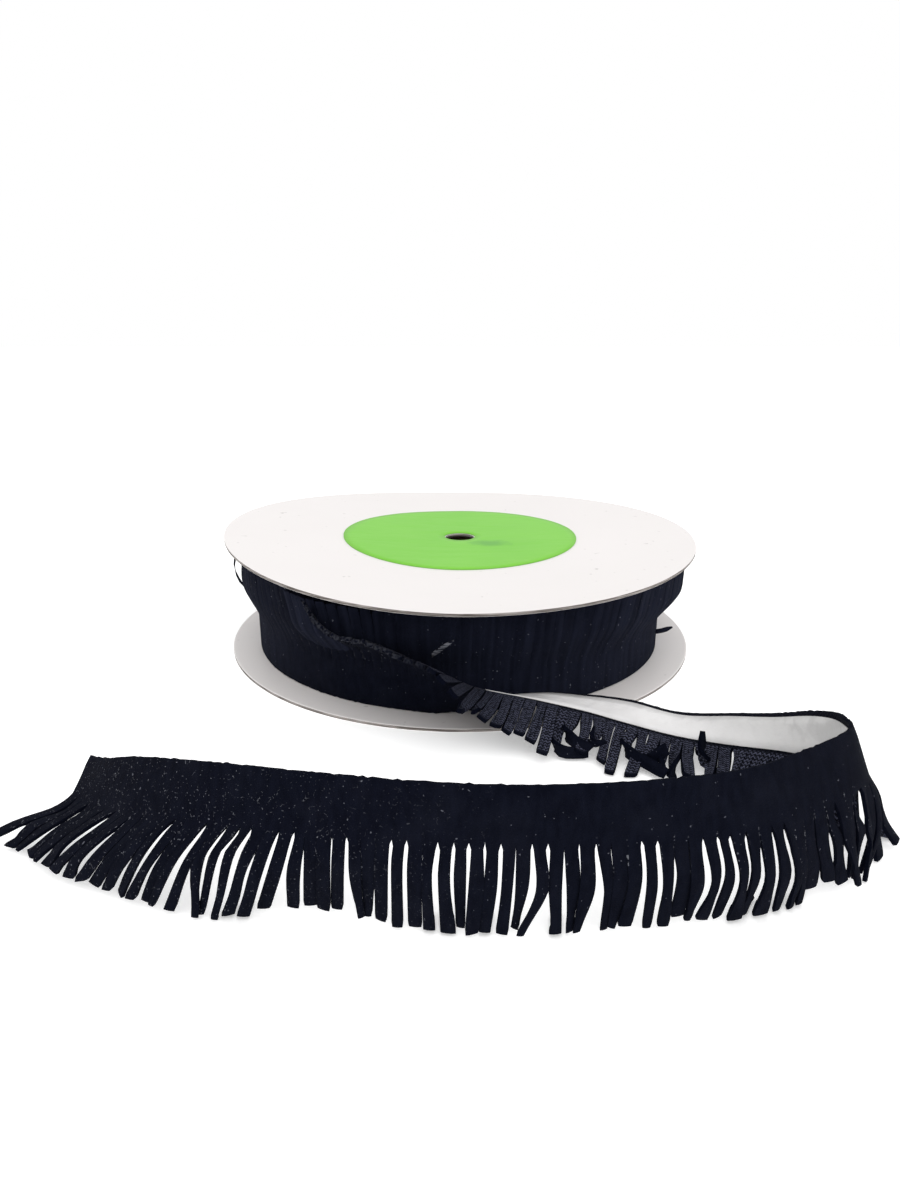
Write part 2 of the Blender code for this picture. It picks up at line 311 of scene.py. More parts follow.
def label_paper():
    finish = Finish("label_paper", 0.5, Specular_IOR_Level=0.25)
    place = finish.place()
    cloud = finish.grain(place, 45.0, 3.0)
    fibre = finish.grain(place, 1500.0, 2.0)
    tone = finish.mix(finish.rise(cloud, 0.3, 0.7), label_green, label_wet)
    middle = {"Vector": place, "Location": (-worn_x, -worn_y, -board_top)}
    off = finish.scaled(finish.node("ShaderNodeMapping", {}, middle), 1.0, 1.6, 1.0)
    off = finish.node("ShaderNodeVectorMath", {"operation": "LENGTH"}, {0: off}, 1)
    ragged = (finish.grain(place, 180.0, 4.0) - 0.5) * 0.9
    patch = finish.fall(off * 100.0 + ragged, 0.25, 0.75)
    tone = finish.mix(patch * 0.8, tone, label_worn)
    creases = finish.grain(finish.scaled(place, 60.0, 160.0, 60.0), 1.0, 3.0)
    relief = finish.bump(creases, 0.0003)
    return finish.wear(tone, finish.bump(fibre, 0.00002, relief))


label = save_piece("label_round", label_shape, label_paper())
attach(label, "root")
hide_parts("label")

# Suede trim: one strip of napped cloth on a knitted back, cut square across into narrow strands below
# a plain header. Its last turn is wound on the spool, and the loose end runs in front and back again.
cloth_thick = 0.0011
cloth_round = 0.00018
front_thin = 0.68
thins_from = 0.150
thins_over = 0.040
header_width = 0.0105
strand_length = 0.0190
strand_pitch = 0.00265
strand_most_width = 0.00255
strand_least_width = 0.0013
told_most_width = strand_most_width * 1.15
wound_most_width = strand_pitch * 1.12
closed_slit = 0.00012
wound_slit = 0.00003
tip_narrowing = 0.86
tip_skew = 0.0008
header_curl = 0.00015
header_bumps = 0.00030
header_swell = 0.00022
strand_cup = 0.00012
peel_starts = 10
columns_per_strand = 3
header_rows = 4
strand_rows = 16
strand_settle = 0.62
floor_bias = 0.15
root_height = 0.0118
end_narrows = 0.20
end_run = 0.0230
wound_middle = 0.0669
wound_first = 0.0651
lift_off = -149.5
wound_turn = 351.0
wound_steps = 27
wound_strands = 148
loose_strands = 134
wound_rise = 0.0180
wound_bend = 0.62
hold_ends = 0.0290
hold_fades = 0.0080
covered_lean = 0.0030
covered_ends = -0.3450
covered_fades = 0.0250
wide_ripple = 0.08
fine_ripple = 0.02

suede_deep = (0.0020, 0.0027, 0.0072)
suede_brushed = (0.0042, 0.0054, 0.0122)
suede_worn = (0.0095, 0.0108, 0.0190)
# Painted light: a lighter, bluer tone that lifts the wound strands out of the shade under the upper disc.
suede_wound_painted_light = (0.0150, 0.0178, 0.0335)
lint_grey = (0.11, 0.115, 0.14)
# A pale grey used for real lint and dust, and for painted highlights on cut edges and beside the slits.
lint_and_highlight_pale = (0.30, 0.31, 0.35)
torn_pale = (0.16, 0.165, 0.19)
knit_furrow = (0.002, 0.0025, 0.0065)
knit_loop = (0.066, 0.071, 0.108)
knit_hair = (0.020, 0.021, 0.034)
stitch_wide = 0.00110
stitch_tall = 0.00100
first_strands = 40

Station = namedtuple(
    "Station", "x y root_height header_angle strand_angle drag settle", defaults=(strand_settle,))


def clamped(share):
    return min(1.0, max(0.0, share))


def eased(share):
    """A share from 0 to 1 that starts and ends smoothly."""
    return share * share * (3 - 2 * share)


def wound_station(azimuth, radius, strand_angle, drag=0.0):
    turn = math.radians(azimuth)
    return Station(
        radius * math.cos(turn), radius * math.sin(turn), root_height, 90.0, strand_angle, drag)


wound_stations = []
for step in range(wound_steps):
    share = step / wound_steps
    azimuth = lift_off - wound_turn * (1.0 - share)
    radius = wound_first + (wound_middle - wound_first) * share
    wound_stations.append(wound_station(azimuth, radius, 80.0))

# How far the wound strands lean out and sideways at their tips, by azimuth.
Flare = namedtuple("Flare", "azimuth lean_out lean_side lean_back")
flares = [
    Flare(-180, 0.0050, -0.0030, 0.0030), Flare(-150, 0.0040, -0.0048, 0.0010),
    Flare(-128, 0.0034, -0.0040, 0.0), Flare(-98, 0.0016, 0.0, 0.0), Flare(-70, 0.0022, 0.0012, 0.0),
    Flare(-45, 0.0042, 0.0038, 0.0), Flare(-20, 0.0064, 0.0048, 0.0), Flare(0, 0.0070, 0.0040, 0.0004),
    Flare(45, 0.0068, 0.0010, 0.0004), Flare(90, 0.0062, 0.0, 0.0),
    Flare(140, 0.0060, -0.0015, 0.0010), Flare(180, 0.0050, -0.0030, 0.0030),
]

loose_stations = [
    wound_station(-149.5, wound_middle, 76.0),
    wound_station(-139.0, wound_middle, 78.0),
    wound_station(-128.0, wound_middle, 72.0),
    wound_station(-121.0, wound_middle, 46.0),
    wound_station(-114.0, wound_middle, 30.0, -4.0),
    wound_station(-107.0, wound_middle, 29.0, -4.0),
    Station(-0.0080, -0.0694, 0.0116, 76, 30, 0, 0.40),
    Station(-0.0015, -0.0717, 0.0112, 62, 28, 2, 0.24),
    Station(0.0045, -0.0736, 0.0106, 44, 8, 2, 0.14),
    Station(0.0185, -0.0766, 0.0088, 14, -20, -4, 0.25),
    Station(0.0305, -0.0794, 0.0070, 0, -27, -2),
    Station(0.0410, -0.0828, 0.0053, -11, -18, 4),
    Station(0.0515, -0.0872, 0.0042, -11, -10, 10),
    Station(0.0615, -0.0945, 0.0058, -28, -14, 18),
    Station(0.0710, -0.1045, 0.0096, -43, -42, 16),
    Station(0.0780, -0.1140, 0.0130, -77, -62, 6),
    Station(0.0800, -0.1235, 0.0163, -108, -122, 5),
    Station(0.0750, -0.1325, 0.0184, -115, -100, 5),
    Station(0.0625, -0.1412, 0.0188, -115, -84, -1),
    Station(0.0485, -0.1478, 0.0190, -108, -79, -3),
    Station(0.0310, -0.1510, 0.0192, -99, -85, -1),
    Station(0.0105, -0.1520, 0.0192, -94, -88, 0),
    Station(-0.0100, -0.1509, 0.0190, -99, -84, 1),
    Station(-0.0285, -0.1482, 0.0188, -106, -76, 10),
    Station(-0.0445, -0.1446, 0.0182, -112, -99, 27),
    Station(-0.0580, -0.1390, 0.0160, -120, -109, 41),
    Station(-0.0700, -0.1310, 0.0122, -119, -139, 38),
    Station(-0.0814, -0.1203, 0.0090, -128, -152, 31),
]


def thin_share(along):
    """How thin the cloth is pressed: 1 by the spool, less in the front stretch."""
    return 1.0 + (front_thin - 1.0) * eased(clamped((along - thins_from) / thins_over))


class Route:
    """The line of the slits' roots through its stations, with the cloth's directions along it."""

    def __init__(self, stations, first):
        self.rows = [[spool_x + s.x, spool_y + s.y, *s[2:]] for s in stations]
        self.knots = [0.0]
        for before, after in zip(self.rows, self.rows[1:]):
            self.knots.append(self.knots[-1] + math.dist(before[:3], after[:3]))
        last = len(self.rows) - 1
        self.slopes = []
        for i in range(last + 1):
            low, high = max(i - 1, 0), min(i + 1, last)
            run = self.knots[high] - self.knots[low]
            self.slopes.append([(b - a) / run for a, b in zip(self.rows[low], self.rows[high])])
        steps = 4000
        self.fine = [self.knots[-1] * i / steps for i in range(steps + 1)]
        self.run = [0.0]
        for before, after in zip(self.fine, self.fine[1:]):
            self.run.append(self.run[-1] + math.dist(self.sample(before)[:3], self.sample(after)[:3]))
        start = self.knots[first]
        near = min(range(steps + 1), key=lambda i: abs(self.fine[i] - start))
        self.start = self.run[near]
        self.length = self.run[-1] - self.start

    def sample(self, knot):
        knot = min(max(knot, 0.0), self.knots[-1])
        i = 0
        while i < len(self.knots) - 2 and knot > self.knots[i + 1]:
            i += 1
        run = self.knots[i + 1] - self.knots[i]
        t = (knot - self.knots[i]) / run
        rise = eased(t)
        leave = t * (1 - t) ** 2 * run
        reach = -t * t * (1 - t) * run
        ends = zip(self.rows[i], self.rows[i + 1], self.slopes[i], self.slopes[i + 1])
        return [a + (b - a) * rise + leave * ma + reach * mb for a, b, ma, mb in ends]

    def knot_at(self, along):
        along = min(max(along + self.start, 0.0), self.run[-1])
        low, high = 0, len(self.run) - 1
        while high - low > 1:
            middle = (low + high) // 2
            if self.run[middle] <= along:
                low = middle
            else:
                high = middle
        share = (along - self.run[low]) / (self.run[high] - self.run[low])
        return self.fine[low] + (self.fine[high] - self.fine[low]) * share

    def frame(self, along):
        knot = self.knot_at(along)
        values = self.sample(knot)
        before, after = Vector(self.sample(knot - 0.0004)[:3]), Vector(self.sample(knot + 0.0004)[:3])
        ahead = (after - before).normalized()
        level = Vector((ahead.x, ahead.y, 0.0)).normalized()
        right = Vector((level.y, -level.x, 0.0))
        lean = math.radians(values[3])
        down = right * math.cos(lean) + Vector((0, 0, math.sin(lean)))
        down = (down - ahead * down.dot(ahead)).normalized()
        return Vector(values[:3]), ahead, level, right, down, values[3:]

    def header_point(self, along, up, out=0.0):
        root, ahead, level, right, down, angles = self.frame(along)
        up *= 1 - end_narrows * eased(clamped(1 - (self.length - along) / end_run))
        return root - down * up + ahead.cross(down).normalized() * out

    def wound_line(self, along):
        """The middle of a slit on the spool, which bends out and then stands up under the upper disc."""
        root = self.frame(along)[0]
        out = Vector((root.x - spool_x, root.y - spool_y, 0.0)).normalized()
        azimuth = math.degrees(math.atan2(out.y, out.x))
        i = 0
        while azimuth > flares[i + 1].azimuth:
            i += 1
        share = eased((azimuth - flares[i].azimuth) / (flares[i + 1].azimuth - flares[i].azimuth))
        lean_out, lean_side, lean_back = [
            a + (b - a) * share for a, b in zip(flares[i][1:], flares[i + 1][1:])]
        beside = Vector((-out.y, out.x, 0.0))
        rise = wound_rise + bent_up(root.x)
        ripple = wide_ripple * math.sin(math.radians(11 * azimuth))
        ripple += fine_ripple * math.sin(math.radians(29 * azimuth))
        lean_out += covered_lean * clamped((covered_ends - along) / covered_fades)
        lean_out *= 1.0 + ripple
        line = []
        for step in range(strand_rows + 1):
            share = step / strand_rows
            bend = eased(min(1.0, share / wound_bend))
            aside = beside * (lean_side * share * share)
            tuck = max(0.0, (share - wound_bend) / (1 - wound_bend)) ** 2
            outward = out * (lean_out * bend - lean_back * tuck)
            line.append(root + outward + aside + Vector((0.0, 0.0, rise * share)))
        return line

    def slit_line(self, along, length=strand_length):
        """The middle of one slit from its root to the strands' tips, level along the floor it reaches."""
        held = clamped((hold_ends - along) / hold_fades)
        wound = self.wound_line(along) if held else None
        if held == 1.0:
            return wound
        root, ahead, level, right, down, (start, end, drag, settle) = self.frame(along)
        rest = cloth_thick * thin_share(along) / 2
        step = length / strand_rows
        line = [root]
        for i in range(strand_rows):
            turn = eased(min(1.0, (i + 0.5) / strand_rows / settle))
            lean = math.radians(start + (end - start) * turn)
            trail = math.radians(drag * turn)
            flat = right * (math.cos(lean) * math.cos(trail)) + level * math.sin(trail)
            here = line[-1] + (flat + Vector((0, 0, math.sin(lean) * math.cos(trail)))) * step
            if here.z < rest:
                drop = line[-1].z - rest
                side = flat + right * math.copysign(floor_bias, math.cos(lean))
                here = line[-1] + side.normalized() * math.sqrt(max(step * step - drop * drop, 0.0))
                here.z = rest
            line.append(here)
        if held:
            line = [loose.lerp(tight, eased(held)) for loose, tight in zip(line, wound)]
        return line


route = Route(wound_stations + loose_stations, len(wound_stations))

# The slits of the front stretch, read from the photograph in its pixels: where each slit leaves the
# header, three places down it, and how wide it gapes at those places where it isn't shut.
shut_gap = 0.4
Slit = namedtuple(
    "Slit", "number root_u upper_u upper_v middle_u middle_v foot_u foot_v upper_gap middle_gap foot_gap",
    defaults=(shut_gap, shut_gap, shut_gap))
read_slits = [
    Slit(29, 486, 482, 698, 476, 704, 471, 709, 0.4, 0.4, 0.6),
    Slit(30, 495, 490, 700, 482, 709, 474, 716, 0.4, 0.4, 0.6),
    Slit(31, 504, 501, 702, 496, 713, 488, 723, 0.8, 2.0, 1.5),
    Slit(32, 514, 511, 706, 506, 719, 501, 730, 0.5, 0.8, 1.0),
    Slit(33, 525, 521, 710, 517, 722, 513, 731),
    Slit(34, 537, 536, 708, 531, 721, 524, 737, 1.0, 1.5, 2.0),
    Slit(35, 547, 544, 716, 541, 730, 536, 746, 0.5, 1.0, 1.5),
    Slit(36, 559, 557, 714, 554, 731, 550, 752, 1.0, 0.6, 1.0),
    Slit(37, 570, 569, 714, 567, 724, 564, 740, 1.2, 0.6),
    Slit(38, 582, 580, 719, 578, 730, 573, 742, 1.5, 5.0, 9.0),
    Slit(39, 593, 593, 722, 591, 731, 590, 745, 0.8, 1.4, 5.0),
    Slit(40, 605, 604, 724, 602, 737, 596, 757, 0.5, 0.7, 0.8),
    Slit(41, 617, 615, 726, 610, 744, 606, 762, 0.8, 1.0, 0.6),
    Slit(42, 628, 626, 729, 622, 746, 617, 768, 0.8, 1.2, 3.0),
    Slit(43, 638, 637, 733, 635, 744, 624, 770, 1.0, 2.0, 1.0),
    Slit(44, 649, 647, 738, 645, 750, 639, 772, 0.7, 1.4, 1.0),
    Slit(45, 661, 660, 739, 657, 753, 653, 772, 0.5, 0.6, 0.8),
    Slit(46, 673, 671, 742, 668, 757, 666, 774, 0.6, 0.6, 0.8),
    Slit(47, 684, 683, 744, 681, 757, 679, 776, 0.6, 0.6, 0.8),
    Slit(48, 695, 695, 747, 694, 760, 697, 775, 1.0, 1.6, 1.0),
    Slit(49, 708, 707, 748, 705, 762, 704, 778, 0.5, 0.6, 0.6),
    Slit(50, 720, 719, 749, 717, 764, 714, 780, 0.5, 0.6, 0.6),
    Slit(51, 734, 733, 752, 734, 762, 732, 780, 2.0, 5.0, 6.0),
    Slit(66, 863, 876, 795, 886, 820, 901, 840),
    Slit(67, 866, 879, 797, 882, 826, 893, 846, 0.4, 0.4, 1.0),
    Slit(68, 867, 877, 800, 879, 828, 868, 862),
    Slit(69, 866, 873, 803, 874, 832, 865, 864),
    Slit(70, 863, 866, 806, 870, 834, 862, 866, 0.6, 0.6),
    Slit(71, 859, 858, 803, 865, 828, 864, 855, 7.5, 0.4, 6.5),
    Slit(72, 851, 853, 810, 858, 838, 856, 868, 0.5),
    Slit(73, 843, 848, 812, 853, 845, 854, 872, 0.4, 0.5),
    Slit(74, 833, 836, 818, 842, 838, 848, 866, 2.5, 0.4, 3.5),
    Slit(75, 823, 829, 830, 832, 850, 834, 868, 0.8, 4.0),
    Slit(76, 812, 814, 840, 819, 864, 818, 886, 0.4, 0.4, 0.8),
    Slit(77, 802, 804, 845, 806, 870, 800, 898, 0.5, 0.5, 0.5),
    Slit(78, 792, 795, 845, 799, 880, 796, 897, 0.5, 0.8, 2.0),
    Slit(79, 782, 786, 840, 794, 872, 785, 900, 3.0, 5.0, 4.0),
    Slit(80, 770, 774, 842, 777, 874, 773, 897, 2.5, 3.5, 3.0),
    Slit(81, 758, 761, 854, 762, 880, 748, 912, 1.5, 3.0, 3.0),
    Slit(82, 745, 746, 842, 750, 872, 741, 914, 2.5, 2.5),
    Slit(83, 730, 730, 840, 737, 880, 724, 916, 3.0, 4.0, 4.0),
    Slit(84, 716, 718, 840, 723, 874, 714, 906, 3.0, 4.0, 3.5),
    Slit(85, 702, 704, 850, 707, 885, 693, 913, 4.0, 6.5, 4.0),
    Slit(86, 687, 688, 845, 690, 880, 684, 914, 0.8),
    Slit(87, 673, 674, 858, 675, 878, 671, 908, 1.0, 3.0, 1.0),
    Slit(88, 657, 657, 840, 660, 885, 655, 915, 3.0, 4.5, 3.5),
    Slit(89, 641, 642, 842, 644, 880, 636, 925, 3.0, 4.5, 11.0),
    Slit(90, 627, 627, 860, 627, 885, 616, 922),
    Slit(91, 611, 611, 850, 613, 880, 607, 926, 0.9),
    Slit(92, 596, 596, 850, 599, 890, 591, 924, 2.5, 9.0, 20.0),
    Slit(93, 579, 579, 846, 580, 880, 573, 925, 1.5),
    Slit(94, 564, 564, 868, 564, 890, 564, 931, 2.0, 4.5, 5.5),
    Slit(95, 548, 548, 848, 548, 888, 538, 925, 4.0, 0.4, 24.0),
    Slit(96, 532, 532, 845, 532, 888, 519, 925, 2.0, 6.5),
    Slit(97, 516, 515, 868, 513, 900, 510, 930, 1.5, 3.5, 3.5),
    Slit(98, 501, 501, 842, 499, 888, 493, 930, 3.5, 4.0, 4.5),
    Slit(99, 485, 485, 845, 484, 880, 479, 930, 3.0),
    Slit(100, 469, 469, 845, 468, 870, 465, 928, 4.0, 3.5),
    Slit(101, 454, 454, 845, 452, 880, 456, 928, 3.0, 3.5),
    Slit(102, 438, 438, 848, 435, 875, 438, 930, 4.0, 6.0, 5.0),
    Slit(103, 423, 423, 850, 422, 885, 423, 927, 0.4, 0.4, 0.8),
    Slit(104, 407, 407, 840, 405, 870, 406, 925, 3.0, 4.0, 5.0),
    Slit(105, 392, 392, 838, 390, 862, 390, 912, 3.0, 2.5, 3.5),
    Slit(106, 376, 376, 845, 375, 880, 374, 914, 0.4, 0.4, 4.0),
    Slit(107, 361, 361, 845, 362, 880, 365, 914),
    Slit(108, 347, 347, 840, 347, 875, 351, 908, 2.5, 5.5, 15.0),
    Slit(109, 332, 332, 840, 331, 865, 331, 910, 1.2, 1.0),
    Slit(110, 318, 317, 845, 317, 880, 318, 906),
    Slit(111, 306, 304, 850, 302, 880, 302, 905, 0.8, 2.5, 2.5),
    Slit(112, 295, 293, 838, 285, 870, 280, 903, 3.0, 4.0, 15.0),
    Slit(113, 280, 275, 843, 267, 867, 256, 903, 3.0, 3.7, 4.0),
    Slit(114, 266, 257, 850, 248, 872, 242, 895, 0.6, 3.0, 2.5),
    Slit(115, 253, 250, 833, 238, 854, 227, 894, 3.0, 5.5, 3.5),
    Slit(116, 242, 236, 836, 222, 854, 211, 905, 2.5, 4.5, 8.0),
    Slit(117, 230, 218, 840, 207, 858, 199, 905, 3.0, 2.5, 0.5),
    Slit(118, 219, 205, 845, 191, 869, 186, 912, 0.5, 1.5, 21.0),
    Slit(119, 209, 200, 834, 180, 862, 160, 906, 3.5, 5.5, 8.0),
    Slit(120, 199, 186, 838, 163, 870, 150, 903, 0.5),
    Slit(121, 188, 174, 838, 152, 868, 138, 901, 0.5, 1.5, 2.5),
    Slit(122, 178, 164, 832, 145, 858, 124, 897, 3.5, 4.5, 1.5),
    Slit(123, 167, 148, 838, 126, 868, 114, 893, 0.4, 1.5, 3.8),
    Slit(124, 157, 136, 838, 117, 860, 101, 888, 0.4, 0.4, 2.0),
    Slit(125, 147, 126, 836, 105, 858, 87, 883, 0.4, 0.4, 1.0),
    Slit(126, 137, 100, 844, 84, 861, 75, 879, 2.2, 2.2),
    Slit(127, 128, 98, 836, 70, 860, 60, 875, 0.4, 1.0, 3.0),
    Slit(128, 118, 89, 831, 69, 846, 50, 869, 4.0, 2.0),
    Slit(129, 107, 82, 826, 58, 844, 40, 861, 0.4, 0.8, 2.5),
    Slit(130, 99, 72, 826, 52, 838, 31, 859, 0.4, 0.4, 0.5),
    Slit(131, 92, 76, 815, 53, 829, 27, 848, 2.6, 3.0, 9.0),
    Slit(132, 86, 66, 814, 40, 828, 13, 851),
    Slit(133, 81, 61, 813, 27, 825, 8, 839, 1.2, 0.5, 13.5),
    Slit(134, 74, 54, 808, 23, 819, 0, 830, 0.0, 0.0, 0.0),
]
# How far down the picture each of these strands reaches, and how far its tip stands forward, in mm.
Tip = namedtuple("Tip", "number foot_v forward twist", defaults=(0.0, 0))
read_tips = [
    Tip(28, 703, 0.2, 8), Tip(29, 708, 0.0, -6), Tip(30, 714, 0.2, 10), Tip(31, 723, -0.1, -6),
    Tip(32, 729, 0.1, 4), Tip(33, 728, -0.6, -14), Tip(34, 739, 0.2, 6), Tip(35, 751.5, 0.0, -4),
    Tip(38, 746), Tip(40, 759, 0.3, 5), Tip(41, 772, -0.2, -4), Tip(43, 774, 0.2, 8),
    Tip(45, 771, -0.4, 150), Tip(46, 774, 0.8, -140), Tip(47, 777, -0.6, 30), Tip(49, 770, -0.3, -30),
    Tip(50, 772, -0.5, 20), Tip(51, 778, 0.2), Tip(66, 839), Tip(67, 852, -0.8, 8), Tip(68, 864, 0.3),
    Tip(69, 870, -0.2, 5), Tip(70, 878, 0.3, 10), Tip(71, 874, -0.4), Tip(72, 876, -1.2, 14),
    Tip(73, 882, 0.5), Tip(74, 881, -0.3, 8), Tip(75, 878, 0.2), Tip(76, 886, -0.2, 5), Tip(77, 900),
    Tip(78, 903, 0.2, 5), Tip(79, 907, 0.0, -5), Tip(80, 910, 0.3), Tip(81, 914, -0.3, 8),
    Tip(82, 915, 0.2), Tip(83, 915, -0.2, -6), Tip(84, 916, 0.2), Tip(85, 916, 0.4, 10),
    Tip(86, 914.5, -0.2), Tip(87, 923, 0.2, 4), Tip(88, 926, -0.1, -8), Tip(89, 922, 0.5, 6),
    Tip(90, 926), Tip(91, 929, -0.3), Tip(92, 929, 0.4, 8), Tip(93, 932, -0.4), Tip(94, 933, 0.1, 5),
    Tip(95, 931, 0.9, -12), Tip(96, 930, -0.7), Tip(97, 932, 0.2, 3), Tip(98, 934, -0.2),
    Tip(99, 932, 0.3, 6), Tip(100, 928, -0.4), Tip(101, 932, 0.3, -4), Tip(102, 930, -0.2),
    Tip(103, 925, 0.2, 5), Tip(104, 927, -0.1), Tip(105, 919, 0.3, -6), Tip(106, 917, -0.2),
    Tip(107, 915, 0.5, 9), Tip(108, 910, -0.3), Tip(109, 908, 0.2), Tip(110, 905, -0.2, 5),
    Tip(111, 905, 0.2), Tip(112, 907, -0.1, -7), Tip(113, 912, 0.3), Tip(114, 912, -0.3, 6),
    Tip(115, 915, 0.1), Tip(116, 915, -0.4), Tip(117, 915, 0.6, 18), Tip(118, 911, -0.2),
    Tip(119, 906, 0.2), Tip(120, 903, -0.3, 4), Tip(121, 900, 0.2), Tip(122, 896, -0.2),
    Tip(123, 891, 0.2, 5), Tip(124, 886, -0.2), Tip(125, 882), Tip(126, 878), Tip(127, 872.5),
    Tip(128, 868), Tip(129, 861), Tip(130, 857), Tip(131, 850, -0.2), Tip(132, 849, 0.2),
    Tip(133, 841, 0.4),
]
slit_rows = {slit.number: slit for slit in read_slits}
tip_rows = {tip.number: tip for tip in read_tips}
front_starts = 67.5
evenly_cut = (28, 61)
# Strands of the loose end that turn over and show their other side: where their middle passes in the
# photograph, its height there in mm, and how far round it has turned.
Turned = namedtuple("Turned", "u v height roll")
turned_points = {
    36: [
        Turned(561, 722, 6.3, 0), Turned(557, 734, 4.6, 15), Turned(556, 746, 3.0, 70),
        Turned(565, 752, 2.0, 105), Turned(588, 752, 1.9, 112)],
    37: [
        Turned(573, 721, 6.4, 0), Turned(567, 730, 5.4, 50), Turned(570, 737, 4.5, 110),
        Turned(579, 744, 3.8, 130), Turned(590, 750, 3.0, 140)],
    39: [
        Turned(599, 725, 6.2, 0), Turned(597, 733, 5.3, 50), Turned(591, 740, 4.6, 110),
        Turned(595, 744, 4.0, 130), Turned(605, 742, 4.0, 150)],
    42: [
        Turned(631, 734, 5.2, 0), Turned(626, 743, 4.4, 30), Turned(629, 752, 3.4, 100),
        Turned(645, 762, 2.4, 125), Turned(666, 774, 1.9, 130)],
    44: [
        Turned(653, 743, 4.2, 0), Turned(649, 753, 2.8, 0), Turned(647, 760, 1.8, 60),
        Turned(653, 758, 3.2, 110), Turned(667, 748, 5.6, 120)],
    48: [
        Turned(702, 752, 4.2, 0), Turned(710, 762, 2.6, 40), Turned(707, 764, 2.6, 100),
        Turned(702, 752, 5.6, 140), Turned(702, 731, 10.4, 150)],
}
turned_width = 0.0029
pointed = (39, 48)
point_from = 0.6
point_narrows = 0.75
shortest_strand = 0.013
longest_strand = 0.024
least_gap = 0.3
open_gap = 0.6
most_hidden = 4.5
peel_uneven = 0.0007
uneven_after = 3
told_twist = 5.0
free_twist = 9.0
free_forward = 0.00035
free_sway = 0.00022
wound_twist = 2.0
wound_forward = 0.00012


def seen(point):
    """Where a point falls in the photograph, and its distance along the camera's aim."""
    away = point - photo_camera.location
    up = away.y * math.cos(camera_tilt) + away.z * math.sin(camera_tilt)
    depth = away.y * math.sin(camera_tilt) - away.z * math.cos(camera_tilt)
    u = photo_width / 2 + lens_pixels * away.x / depth
    return u, photo_height / 2 - lens_pixels * up / depth, depth


def root_along(number):
    """How far along the cloth a slit leaves the header."""
    if number not in slit_rows:
        known = [*slit_rows, *evenly_cut]
        if number in evenly_cut or number < min(known) or number > max(known):
            return number * strand_pitch
        before = max(n for n in known if n < number)
        after = min(n for n in known if n > number)
        low, high = root_along(before), root_along(after)
        return low + (high - low) * (number - before) / (after - before)
    low, high = (number - 4) * strand_pitch, (number + 4) * strand_pitch
    leftward = -1 if number > front_starts else 1
    for halving in range(24):
        middle = (low + high) / 2
        if seen(route.frame(middle)[0])[0] * leftward < slit_rows[number].root_u * leftward:
            low = middle
        else:
            high = middle
    return (low + high) / 2


def seeded(number, kind):
    return random.Random(number * 17 + kind * 7919).uniform(-1.0, 1.0)


def through(v, stops):
    """A smooth line through stops of (v, value), straight on past its last stop."""
    if v >= stops[-1][0]:
        (v0, a), (v1, b) = stops[-2:]
        return b + (b - a) / (v1 - v0) * (v - v1) * 1.3
    i = 0
    while i < len(stops) - 2 and v > stops[i + 1][0]:
        i += 1
    (v0, a), (v1, b) = stops[i], stops[i + 1]
    t = max(0.0, (v - v0) / (v1 - v0))

    def lean(j):
        low, high = max(j - 1, 0), min(j + 1, len(stops) - 1)
        return (stops[high][1] - stops[low][1]) / (stops[high][0] - stops[low][0])

    run = v1 - v0
    return (a * (1 - t) ** 2 * (1 + 2 * t) + b * eased(t)
            + lean(i) * t * (1 - t) ** 2 * run - lean(i + 1) * t * t * (1 - t) * run)


def slit_side(number, side, length):
    """One edge of the cloth along a slit: side is 1 for the strand before it, -1 for the strand after."""
    line = route.slit_line(root_of[number], length)
    if number not in slit_rows:
        return line
    slit = slit_rows[number]
    root_v = seen(line[0])[1]
    side = -side if number < front_starts else side
    columns = [(root_v, slit.root_u), (slit.upper_v, slit.upper_u),
               (slit.middle_v, slit.middle_u), (slit.foot_v, slit.foot_u)]
    gaps = [(root_v, 0.0), (slit.upper_v, slit.upper_gap),
            (slit.middle_v, slit.middle_gap), (slit.foot_v, slit.foot_gap)]
    placed = []
    across = route.frame(root_of[number])[1]
    thick = cloth_thick * thin_share(root_of[number])
    for i, here in enumerate(line):
        u, v, depth = seen(here)
        gap = max(least_gap, through(min(v, slit.foot_v), gaps)) if v > root_v + 1 else 0.0
        run = line[min(i + 1, strand_rows)] - line[max(i - 1, 0)]
        inner_u, inner_v = seen(here + across.cross(run).normalized() * thick)[:2]
        slant = (through(v + 1, columns) - through(v - 1, columns)) / 2
        hidden = min(most_hidden, abs(inner_u - u - slant * (inner_v - v)))
        if number > front_starts:
            gap += hidden * clamped(gap - open_gap)
        target = through(v, columns) + side * gap / 2
        placed.append(here + Vector(((target - u) * depth / lens_pixels, 0.0, 0.0)))
    return placed


def strand_reach(number):
    """The length that brings a strand's tip to its place in the picture."""
    if number not in tip_rows:
        peels = uneven_after < number < evenly_cut[0]
        return strand_length + (peel_uneven * seeded(number // 3, 5) if peels else 0.0)
    low, high = shortest_strand, longest_strand
    for halving in range(12):
        middle = (low + high) / 2
        if seen(route.slit_line(root_of[number], middle)[-1])[1] < tip_rows[number].foot_v:
            low = middle
        else:
            high = middle
    return (low + high) / 2


def on_ray(u, v, height):
    """The point at this height that the photograph shows at this pixel."""
    ray_x, ray_up = (u - photo_width / 2) / lens_pixels, (photo_height / 2 - v) / lens_pixels
    sine, cosine = math.sin(camera_tilt), math.cos(camera_tilt)
    ray = Vector((ray_x, sine + cosine * ray_up, sine * ray_up - cosine))
    return photo_camera.location + ray * ((height - photo_camera.location.z) / ray.z)


